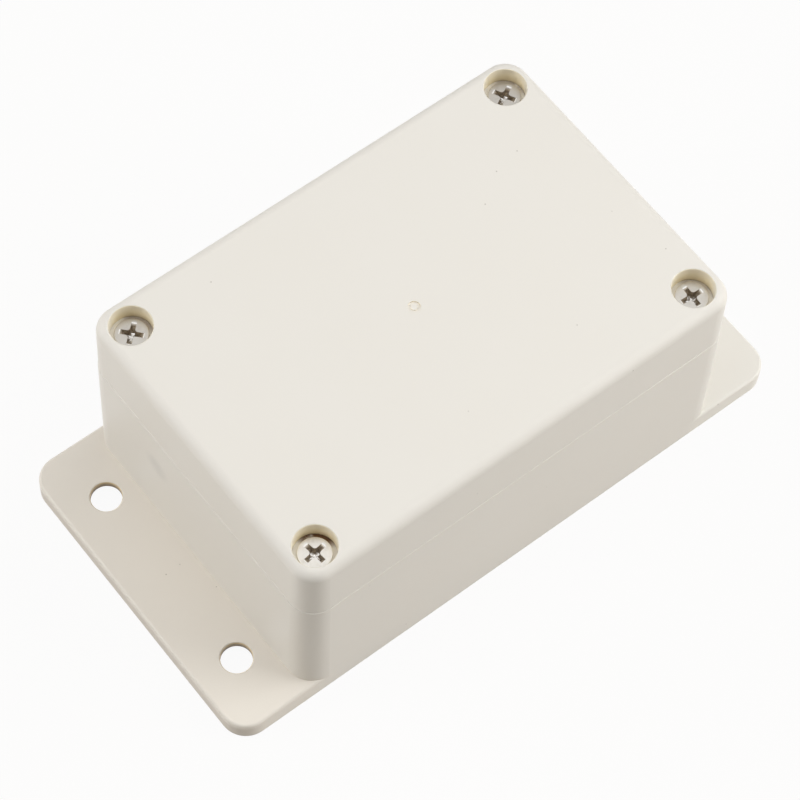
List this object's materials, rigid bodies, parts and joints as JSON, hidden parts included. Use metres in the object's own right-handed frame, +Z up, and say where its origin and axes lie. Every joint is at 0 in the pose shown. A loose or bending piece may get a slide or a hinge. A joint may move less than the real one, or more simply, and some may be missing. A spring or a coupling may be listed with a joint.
{
  "type": "plastic project box",
  "caption": "Sealed rectangular plastic project box with a screwed lid over a seal, and a flat fixing ear with holes at each end.",
  "frame": {"origin": "centre of the flat underside, on the plane the box is screwed to", "axes": "+X along the box to the right-hand ear, +Y to the back, +Z up out of the lid"},
  "size_m": [0.131, 0.0686, 0.048],
  "materials": {
    "base_plastic": "fine moulded satin, warm off-white ABS",
    "lid_plastic": "fine moulded satin, warm off-white ABS",
    "seal_rubber": "soft matt grey rubber",
    "screw_metal": "bright nickel plating",
    "insert_brass": "turned and knurled brass"
  },
  "bodies": {
    "base": {"base": "base_plastic", "insert_left_back": "insert_brass", "insert_right_back": "insert_brass", "insert_right_front": "insert_brass", "insert_left_front": "insert_brass"},
    "lid": {"lid": "lid_plastic", "seal": "seal_rubber"},
    "screw_left_back": {"lid_screw_left_back": "screw_metal"},
    "screw_right_back": {"lid_screw_right_back": "screw_metal"},
    "screw_right_front": {"lid_screw_right_front": "screw_metal"},
    "screw_left_front": {"lid_screw_left_front": "screw_metal"}
  },
  "joints": [
    {"name": "lid_lift", "type": "slide", "parent": "base", "child": "lid", "axis": [0, 0, 1], "range_m": [0, 0.06]},
    {"name": "screw_rise_left_back", "type": "slide", "parent": "lid", "child": "screw_left_back", "axis": [0, 0, 1], "range_m": [0, 0.009]},
    {"name": "screw_rise_right_back", "type": "slide", "parent": "lid", "child": "screw_right_back", "axis": [0, 0, 1], "range_m": [0, 0.009]},
    {"name": "screw_rise_right_front", "type": "slide", "parent": "lid", "child": "screw_right_front", "axis": [0, 0, 1], "range_m": [0, 0.009]},
    {"name": "screw_rise_left_front", "type": "slide", "parent": "lid", "child": "screw_left_front", "axis": [0, 0, 1], "range_m": [0, 0.009]}
  ]
}
